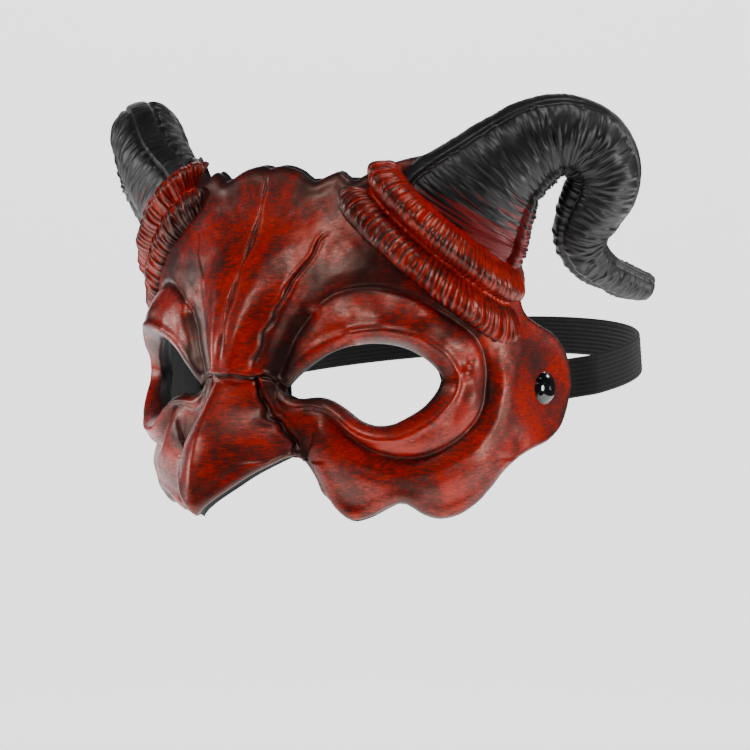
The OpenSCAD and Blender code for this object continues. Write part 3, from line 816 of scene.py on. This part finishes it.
def makeCollar(side):
    # a closed section of two rolls carried round an ellipse, plus folds
    lowAt, lowLong, lowShort = collar["low"]
    highAt, highLong, highShort = collar["high"]
    lowAt, highAt = np.array(lowAt), np.array(highAt)
    around, across = int(collar["around"] / coarsen), int(collar["across"] / coarsen)
    section = curveThrough(collar["section"], 12, True)
    scaled = section * (13, 1)
    closedLine = np.concatenate([scaled, scaled[:1]])
    run = np.concatenate([[0], np.cumsum(np.linalg.norm(np.diff(closedLine, axis=0), axis=1))])
    at = np.linspace(0, run[-1], across, endpoint=False)
    wrap = np.concatenate([section, section[:1]])
    t = np.interp(at, run, wrap[:, 0])
    out = np.interp(at, run, wrap[:, 1])
    # angles at even steps round the ellipse
    fineA = np.linspace(0, 2 * math.pi, 2000)
    long, short = collar["ellipse"]
    steps = np.hypot(long * np.diff(np.cos(fineA)), short * np.diff(np.sin(fineA)))
    arc = np.concatenate([[0], np.cumsum(steps)])
    s = np.linspace(0, arc[-1], around, endpoint=False)
    a = np.interp(s, arc, fineA)
    A, T = np.meshgrid(a, t, indexing="ij")
    S, D = np.meshgrid(s, out, indexing="ij")
    loop = arc[-1]

    # folds across the rolls on a wandering beat, and small creases between them
    turn = np.stack([np.cos(A), np.sin(A)], -1)
    wander = noise3(np.stack([turn[..., 0] * 4, turn[..., 1] * 4, T * 1.5], -1), 21)
    roll = np.where(T > 0.46, 1, 0)
    count = round(loop / collar["pitch"])
    beat = np.sin(2 * math.pi * (S / loop * (count + 6 * roll) + 1.3 * wander + 0.5 * T) + 2.1 * roll)
    radial = np.stack([np.cos(A) * 15, np.sin(A) * 15, T * 0.9], -1)
    fine = noise3(radial * 2.6 + 5, 22)
    coarse = noise3(np.stack([turn[..., 0] * 7, turn[..., 1] * 7, T * 2], -1), 23)
    crest = ramp(-2, 4.5, D)
    fold = np.where(beat > 0, beat, -np.abs(beat) ** 0.7)
    gather = noise3(np.stack([S / 1.15 + wander, T * 1.3, 0 * T], -1), 24)
    relief = (0.20 * fold + 0.60 * gather + 0.32 * fine) * (0.25 + 0.75 * crest) + 0.7 * coarse * crest
    total = D + relief
    centre = root + (1 - T)[..., None] * lowAt + T[..., None] * highAt
    reachLong = lowLong * (1 - T) + highLong * T + total
    reachShort = lowShort * (1 - T) + highShort * T + total
    verts = (centre + (reachLong * np.cos(A))[..., None] * longAxis
             + (reachShort * np.sin(A))[..., None] * shortAxis).reshape(-1, 3)
    quads = gridFaces(around, across, True, True)
    verts = offTheHead(verts, seat)
    # painted shade in the hollows of the folds and in the grooves between the rolls
    hollowShade = -hollowness(verts, normalsOf(verts, quads), quads, 4) * 4
    groove = bell(T - 0.47, 0.13) + bell(T + 0.47, 0.1)
    undercoatAndShadeShare = 0.75 * ramp(0.0, 0.6, turn[..., 1])
    undercoatAndShadeShare = undercoatAndShadeShare + 0.5 * ramp(0.35, 0.95, -turn[..., 0]) * ramp(0.6, -0.4, T)
    # the fold attribute lightens the crests of the folds: dry-brushing with a painted highlight
    return finishHalf("collar", verts, quads, None, side, {
        "hollowShade": 0.8 * hollowShade - 0.02 + 0.4 * groove.ravel(), "fold": beat.ravel() * crest.ravel(),
        "undercoatAndShade": undercoatAndShadeShare.ravel()})


horns, collars, rivets = {}, {}, {}
for side, word in ((1, "left"), (-1, "right")):
    horns[word] = makeHorn(side)
    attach(horns[word], "mask")
    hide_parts("horn_" + word)
    collars[word] = makeCollar(side)
    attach(collars[word], "mask")
    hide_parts("collar_" + word)
print("collars: built")


def lathe(profile, steps, at):
    # (radius, height) points turned round the rivet's axis; a radius of nought makes a pole
    profile = np.array(profile, float)
    inner = profile[1:-1]
    a = np.arange(steps) / steps * 2 * math.pi
    ring = np.stack([np.broadcast_to(inner[:, 1:2], (len(inner), steps)),
                     inner[:, :1] * np.cos(a), inner[:, :1] * np.sin(a)], -1).reshape(-1, 3)
    verts = np.concatenate([ring, [(profile[0, 1], 0, 0), (profile[-1, 1], 0, 0)]])
    quads = gridFaces(len(inner), steps, closeCols=True)
    ids = np.arange(steps)
    start, end = len(ring), len(ring) + 1
    last = (len(inner) - 1) * steps
    tris = np.concatenate([np.stack([np.full(steps, start), (ids + 1) % steps, ids], 1),
                           np.stack([last + ids, last + (ids + 1) % steps, np.full(steps, end)], 1)])
    return verts + at, quads[:, ::-1], tris[:, ::-1]


rivet = {"capRadius": 6.0, "capHeight": 2.8, "postRadius": 2.0, "edge": 0.5, "backThick": 2.0}
landX, strapOut, backOut = face["landX"], 77.7, 76.2


def makeCap(side):
    # a post, a flat underside and a dome that is a quarter of an ellipse
    r, h, post = rivet["capRadius"], rivet["capHeight"], rivet["postRadius"]
    deep = -(landX - backOut) - 1.2
    arc = np.linspace(0, math.pi / 2, 22)
    top = [((r - 0.3) * math.cos(q), 0.45 + (h - 0.45) * math.sin(q)) for q in arc]
    profile = ([(0, deep), (post - 0.3, deep), (post, deep + 0.3), (post, -0.4), (post + 0.15, -0.02),
                (r - 0.35, -0.02), (r, 0.08), (r, 0.3), (r - 0.1, 0.45)] + top[:-1] + [(0, h)])
    verts, quads, tris = lathe(profile, 96, (landX, rivetAt.y, rivetAt.z))
    return finishHalf("rivetCap", verts, quads, tris, side, {"hollowShade": np.zeros(len(verts))})


def makeBack(side):
    # a flat washer with round edges and a ring pressed round its middle
    r, thick, bore = rivet["capRadius"], rivet["backThick"], rivet["postRadius"] + 0.04
    profile = [(0, -thick), (2.2, -thick), (2.6, -thick + 0.25), (3.0, -thick), (r - 1.0, -thick),
               (r - 0.35, -thick + 0.22), (r, -thick + 0.7), (r, -0.3), (r - 0.25, 0),
               (bore, 0), (bore, -1.24), (0, -1.24)]
    verts, quads, tris = lathe(profile, 96, (backOut, rivetAt.y, rivetAt.z))
    return finishHalf("rivetBack", verts, quads, tris, side, {"hollowShade": np.zeros(len(verts))})


strap = {"width": 15.0, "thick": 1.2, "ribs": 9, "tail": 8.0, "clear": 105.564, "turn": 121.564,
         "side": 82.0, "headLength": 208.0, "climb": 7.0}


def makeStrap():
    # the plan line, then a ribbed section: a flattened loop with round edges
    mid = strapOut - strap["thick"] / 2
    y0, y1, y2 = rivetAt.y - strap["tail"], strap["clear"], strap["turn"]
    lead = np.stack([np.full(24, mid), np.linspace(y0, y1, 24)], 1)
    t = np.linspace(0, 1, 24)[1:-1]
    flare = np.stack([mid + (strap["side"] - mid) * ramp(0, 1, t), y1 + (y2 - y1) * t], 1)
    q = np.linspace(0, math.pi / 2, 60)
    arc = np.stack([strap["side"] * np.cos(q), y2 + (strap["headLength"] - y2) * np.sin(q)], 1)
    half = np.concatenate([lead, flare, arc])
    line = np.concatenate([half, half[-2::-1] * (-1, 1)])
    run = np.concatenate([[0], np.cumsum(np.linalg.norm(np.diff(line, axis=0), axis=1))])
    rows = int(700 / coarsen)
    s = np.linspace(0, run[-1], rows)
    plan = np.stack([np.interp(s, run, line[:, k]) for k in (0, 1)], 1)
    along = np.gradient(plan, axis=0)
    along /= np.linalg.norm(along, axis=1, keepdims=True)
    out = np.stack([along[:, 1], -along[:, 0]], 1)

    w, th, ribs = strap["width"] / 2, strap["thick"] / 2, strap["ribs"]
    across = int(60 / coarsen)
    v = np.linspace(-w, w, across)
    edge = np.sqrt(np.clip(1 - (np.abs(v) / w) ** 14, 0, 1))
    rib = 0.10 * np.cos(2 * math.pi * (v + w) / (2 * w) * ribs + math.pi)
    outer = (th - 0.12 + rib) * edge
    section = np.concatenate([np.stack([outer, v], 1), np.stack([-outer[::-1], v[::-1]], 1)[1:-1]])
    count = len(section)
    S = np.meshgrid(s, np.arange(count), indexing="ij")[0]
    reach = section[None, :, 0]
    verts = np.empty((rows, count, 3))
    verts[..., 0] = plan[:, None, 0] + out[:, None, 0] * reach
    verts[..., 1] = plan[:, None, 1] + out[:, None, 1] * reach
    verts[..., 2] = rivetAt.z + section[None, :, 1]
    # turned about the rivets' axis, so that it climbs towards the back of the head
    climb = math.radians(strap["climb"])
    y, z = verts[..., 1] - rivetAt.y, verts[..., 2] - rivetAt.z
    verts[..., 1] = rivetAt.y + y * math.cos(climb) - z * math.sin(climb)
    verts[..., 2] = rivetAt.z + y * math.sin(climb) + z * math.cos(climb)
    verts = verts.reshape(-1, 3)
    quads = gridFaces(rows, count, closeCols=True)
    # the two ends are closed by quads from face to face
    lower = np.arange(0, across - 1)
    backIds = (count - np.arange(across)) % count
    endQuads = np.stack([lower, lower + 1, backIds[lower + 1], backIds[lower]], 1)
    last = (rows - 1) * count
    uv = np.stack([S.ravel(), np.broadcast_to(section[None, :, 1], S.shape).ravel()], 1) / 100
    inner = endQuads[1:-1]
    first = np.array([[0, 1, backIds[1]]])
    final = np.array([[across - 2, across - 1, backIds[across - 2]]])
    capQuads = np.concatenate([inner, (inner + last)[:, ::-1]])
    capTris = np.concatenate([first, final, (first + last)[:, ::-1], (final + last)[:, ::-1]])
    ids = np.arange(count)
    # painted shade between the ribs
    ribAt = rib[np.minimum(ids, (count - ids) % count) % across]
    hollowShade = np.broadcast_to(-5 * ribAt, S.shape).ravel()
    print("strap: triangles", 2 * len(quads))
    return makePiece("headStrap", verts, np.concatenate([quads, capQuads]), capTris, {"hollowShade": hollowShade}, uv)


for side, word in ((1, "left"), (-1, "right")):
    cap, back = makeCap(side), makeBack(side)
    for piece, node in ((cap, "rivet_cap_" + word), (back, "rivet_back_" + word)):
        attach(piece, "mask")
        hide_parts(node)
        rivets[node] = piece
print("rivets: built")
headStrap = makeStrap()
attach(headStrap, "strap")
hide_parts("strap")


def srgb(code):
    # hex to linear light: c / 12.92 below 0.04045, else ((c + 0.055) / 1.055) ^ 2.4
    parts = [int(code[i:i + 2], 16) / 255 for i in (1, 3, 5)]
    return [c / 12.92 if c <= 0.04045 else ((c + 0.055) / 1.055) ** 2.4 for c in parts] + [1.0]


def add(tree, kind, inputs, out=0, **settings):
    # one node with its settings; an input takes a number, a hex colour or another node's output
    node = tree.nodes.new("ShaderNode" + kind)
    for key, value in settings.items():
        setattr(node, key, value)
    fill(tree, node, inputs)
    return node.outputs[out]


def fill(tree, node, inputs):
    # links outputs and sets constants on the node's own sockets
    for key, value in inputs.items():
        if isinstance(value, bpy.types.NodeSocket):
            tree.links.new(value, node.inputs[key])
        else:
            node.inputs[key].default_value = srgb(value) if isinstance(value, str) else value


def newMaterial(name):
    # an empty node material and its tree
    material = bpy.data.materials.new(name)
    material.use_nodes = True
    return material, material.node_tree


def pattern(tree, sizes, detail=3.0, roughness=0.55, warp=0.0, uv=None):
    # noise whose cells have the given sizes in millimetres, in the object's own coordinates,
    # or along the face's flat pattern where a UV map of 100 mm to the unit is given
    where = add(tree, "TexCoord", {}, 3) if uv is None else uv
    unit = 1000 if uv is None else 100
    where = add(tree, "Mapping", {0: where, "Scale": [unit / size for size in sizes]})
    return add(tree, "TexNoise", {0: where, "Scale": 1.0, "Detail": detail, "Roughness": roughness,
                                  "Distortion": warp})


def weighted(tree, start, pairs):
    # the start plus each value times its weight
    for value, weight in pairs:
        start = add(tree, "Math", {0: value, 1: weight, 2: start}, operation="MULTIPLY_ADD")
    return start


def blended(tree, color, layers):
    # each layer in turn lies over the colour: value, from, to, greatest share, colour
    for value, low, high, most, layer in layers:
        share = add(tree, "MapRange", {"Value": value, "From Min": low, "From Max": high, "To Max": most},
                    interpolation_type="SMOOTHSTEP")
        color = add(tree, "Mix", {0: share, 6: color, 7: layer}, 2, data_type="RGBA")
    return color


def redPaint(name, stripes):
    # orange-red acrylic dry-brushed over a black undercoat on PU foam, then a satin varnish
    material, tree = newMaterial(name)
    hollowShade, undercoatAndShade, fold, inside = (add(tree, "Attribute", {}, 2, attribute_name=key)
                                   for key in ("hollowShade", "undercoatAndShade", "fold", "inside"))
    uv = add(tree, "UVMap", {}) if stripes else None
    cloud = pattern(tree, (15, 15, 15), 3, 0.6, 0.6)
    patch = pattern(tree, (5, 5, 5), 5, 0.68, 0.8)
    grain = pattern(tree, (2.4, 0.7, 1) if stripes else (0.8, 0.8, 2.6), 5, 0.78, 0.9, uv)
    streak = pattern(tree, (3.2, 0.6, 1) if stripes else (0.7, 0.7, 3.4), 3, 0.75, 0.5, uv)
    fine = pattern(tree, (0.8, 0.8, 0.8), 2, 0.6)
    # how much undercoat and painted shade show: painted shade and undercoat in the hollows, undercoat patches
    # with some painted shade, and missed streaks; noise is about 0.5
    dark = weighted(tree, -1.7, ((hollowShade, 0.85), (undercoatAndShade, 0.8), (cloud, 0.8), (patch, 0.7), (grain, 1.9)))
    maroon = add(tree, "MapRange", {"Value": dark, "From Min": -0.10, "From Max": 0.34},
                 interpolation_type="SMOOTHSTEP")
    # lighter orange on the collar's fold crests is dry-brushing with a painted highlight; the maroon and
    # near-black layers carry the painted shade held in dark
    color = blended(tree, "#9A0A00", ((weighted(tree, streak, ((dark, -0.25),)), 0.50, 0.72, 0.55, "#CE2A05"),
                                      (fold, 0.45, 1.1, 0.4, "#CC3410"),
                                      (dark, -0.10, 0.34, 0.86, "#340202"),
                                      (dark, 0.20, 0.70, 0.9, "#110B0D"),
                                      (inside, 0.15, 0.6, 1.0, "#131315")))
    height = weighted(tree, 0.0, ((grain, 0.6), (fine, 0.4)))
    fill(tree, tree.nodes["Principled BSDF"], {
        "Base Color": color, "Coat Weight": 0.05, "Coat Roughness": 0.2,
        "Roughness": weighted(tree, 0.27, ((fine, 0.1), (maroon, 0.1), (inside, 0.3))),
        "Normal": add(tree, "Bump", {"Height": height, "Distance": 0.12 * mm, "Strength": 0.7}),
        "Specular IOR Level": add(tree, "MapRange", {
            "Value": inside, "From Min": 0.1, "From Max": 0.6, "To Min": 0.62, "To Max": 0.3},
            interpolation_type="SMOOTHSTEP"),
        "Specular Tint": blended(tree, "#FFC4B0", ((inside, 0.1, 0.6, 1.0, "#FFFFFF"),))})
    return material


def hornFoam():
    # black self-skinned PU foam with a faint grey bloom on its creases, red overspray, and painted shade
    # darkening its hollows
    material, tree = newMaterial("blackSkinFoam")
    hollowShade, spray = (add(tree, "Attribute", {}, 2, attribute_name=key) for key in ("hollowShade", "spray"))
    cloud = pattern(tree, (9, 9, 9), 3, 0.6)
    speck = pattern(tree, (1, 1, 1), 3, 0.7)
    mist = weighted(tree, -0.25, ((spray, 1.0), (speck, 0.5), (hollowShade, -0.35)))
    # painted shade: near black in the hollows
    color = blended(tree, "#161618", ((hollowShade, -0.5, 0.5, 1.0, "#040405"),
                                      (cloud, 0.45, 0.7, 0.35, "#202023"),
                                      (mist, 0.35, 0.8, 0.85, "#7A0500")))
    fill(tree, tree.nodes["Principled BSDF"], {
        "Base Color": color, "Specular IOR Level": 0.5,
        "Roughness": weighted(tree, 0.38, ((cloud, 0.16),)),
        "Normal": add(tree, "Bump", {"Height": speck, "Distance": 0.10 * mm, "Strength": 0.5})})
    return material


def rivetPlastic():
    # glossy black nylon with fine scuffs
    material, tree = newMaterial("blackSnapPlastic")
    scuff = pattern(tree, (0.6, 3, 0.6), 4, 0.7)
    fill(tree, tree.nodes["Principled BSDF"], {
        "Base Color": blended(tree, "#08080A", ((scuff, 0.5, 0.8, 1.0, "#17171A"),)), "Coat Weight": 0.5,
        "Roughness": add(tree, "MapRange", {
            "Value": scuff, "From Min": 0.4, "From Max": 0.8, "To Min": 0.08, "To Max": 0.22},
            interpolation_type="SMOOTHSTEP"),
        "Normal": add(tree, "Bump", {"Height": scuff, "Distance": 0.02 * mm, "Strength": 0.3})})
    return material


def elasticBand():
    # black knitted elastic: courses 0.62 mm apart across lengthwise ribs
    material, tree = newMaterial("blackElastic")
    along = add(tree, "Mapping", {0: add(tree, "UVMap", {}), "Scale": [100 / 0.62 / 6.283, 0, 0]})
    courses = add(tree, "TexWave", {0: along, "Scale": 1.0, "Distortion": 0.0},
                  wave_type="BANDS", bands_direction="X")
    fuzz = pattern(tree, (0.5, 0.5, 0.5), 3, 0.7)
    hollowShade = add(tree, "Attribute", {}, 2, attribute_name="hollowShade")
    shade = weighted(tree, 0.0, ((courses, 0.5), (fuzz, 0.5)))
    color = add(tree, "Mix", {0: shade, 6: "#050506", 7: "#161617"}, 2, data_type="RGBA")
    # the base colour is near black in painted shade between the ribs
    fill(tree, tree.nodes["Principled BSDF"], {
        "Base Color": blended(tree, color, ((hollowShade, -0.2, 0.5, 1.0, "#070708"),)), "Roughness": 0.82,
        "Specular IOR Level": 0.2, "Sheen Weight": 0.06, "Sheen Roughness": 0.5,
        "Normal": add(tree, "Bump", {"Height": shade, "Distance": 0.12 * mm, "Strength": 0.8})})
    return material


def matteFloor():
    # pale seamless paper
    material, tree = newMaterial("palePaper")
    fiber = pattern(tree, (40, 40, 40), 3, 0.6)
    color = add(tree, "Mix", {0: fiber, 6: "#F2F2F3", 7: "#F6F6F6"}, 2, data_type="RGBA")
    fill(tree, tree.nodes["Principled BSDF"], {
        "Base Color": color, "Roughness": 0.9, "Emission Color": "#FFFFFF", "Emission Strength": 1.6,
        "Normal": add(tree, "Bump", {"Height": fiber, "Distance": 0.5 * mm, "Strength": 0.1})})
    return material


shellPaint, collarPaint = redPaint("redPaintOnFoam", True), redPaint("redPaintOnCollar", False)
shell.data.materials.append(shellPaint)
skinFoam, snapPlastic = hornFoam(), rivetPlastic()
for word in ("left", "right"):
    collars[word].data.materials.append(collarPaint)
    horns[word].data.materials.append(skinFoam)
    rivets["rivet_cap_" + word].data.materials.append(snapPlastic)
    rivets["rivet_back_" + word].data.materials.append(snapPlastic)
headStrap.data.materials.append(elasticBand())
print("materials: made")


turn, tilt = math.radians(38), math.radians(2.5)
back = Vector((math.sin(turn) * math.cos(tilt), -math.cos(turn) * math.cos(tilt), math.sin(tilt)))
right = Vector((math.cos(turn), math.sin(turn), 0))
up = back.cross(right)
aim = (right * 153 - up * 8) / 2.75 * mm
viewFrom = {"distance": 1.5, "lens": 198}


def lookAlong(obj, place, direction, upward):
    # columns: right, up, back
    z = -direction.normalized()
    x = upward.cross(z).normalized()
    y = z.cross(x)
    turned = Matrix((x, y, z)).transposed().to_4x4()
    turned.translation = place
    obj.matrix_world = turned


def makeBackdrop():
    # floor, quarter-round and wall, swept square to the camera's direction
    depth, drop, radius, rise = 2.4, -0.36, 0.6, 1.3
    q = np.linspace(-math.pi / 2, 0, 24)
    run = np.concatenate([[(-0.3, drop)], np.stack([depth - radius + radius * np.cos(q),
                          drop + radius + radius * np.sin(q)], 1), [(depth, rise)]])
    across = np.linspace(-1.1, 1.1, 9)
    ahead = np.array((-back.x, -back.y, 0)) / math.hypot(back.x, back.y)
    A, K = np.meshgrid(across, np.arange(len(run)), indexing="ij")
    verts = (A[..., None] * np.array(right) + run[K, 0][..., None] * ahead
             + run[K, 1][..., None] * np.array((0, 0, 1)))
    floor = makePiece("backdrop", verts.reshape(-1, 3) / mm, gridFaces(9, len(run)))
    floor.data.materials.append(matteFloor())
    print("backdrop: built")


makeBackdrop()
lights = [
    # from the camera: right, up and towards it in metres, then size and power
    ("key", (-0.8, 0.7, 0.9), 0.35, 7.5), ("fill", (1.1, -0.05, 0.55), 0.4, 9.0),
    ("top", (0.25, 1.2, 0.35), 0.45, 7.0), ("rimLeft", (-1.1, 0.1, -0.25), 0.35, 4.5),
    ("rimRight", (1.1, 0.7, -0.4), 0.4, 5.0), ("low", (0.0, -0.9, 0.9), 0.8, 0.6),
]
for name, place, size, power in lights:
    light = bpy.data.lights.new(name, "AREA")
    light.shape, light.size, light.energy = "DISK", size, power
    lamp = bpy.data.objects.new(name, light)
    bpy.context.collection.objects.link(lamp)
    spot = aim + right * place[0] + up * place[1] + back * place[2]
    lookAlong(lamp, spot, aim - spot, Vector((0, 0.1, 1)))

world = bpy.data.worlds.new("studio")
world.use_nodes = True
# seen directly the surroundings are pale; as light on the mask they are dim
sky = world.node_tree.nodes["Background"]
fromCamera = add(world.node_tree, "LightPath", {})
level = add(world.node_tree, "MapRange", {"Value": fromCamera, "To Min": 0.07, "To Max": 1.6})
fill(world.node_tree, sky, {"Color": "#F4F6FA", "Strength": level})
bpy.context.scene.world = world

camera = bpy.data.objects.new("camera", bpy.data.cameras.new("camera"))
bpy.context.collection.objects.link(camera)
camera.data.sensor_width, camera.data.lens = 36, viewFrom["lens"]
lookAlong(camera, aim + back * viewFrom["distance"], -back, up)
bpy.context.scene.camera = camera
print("lights and camera: placed")
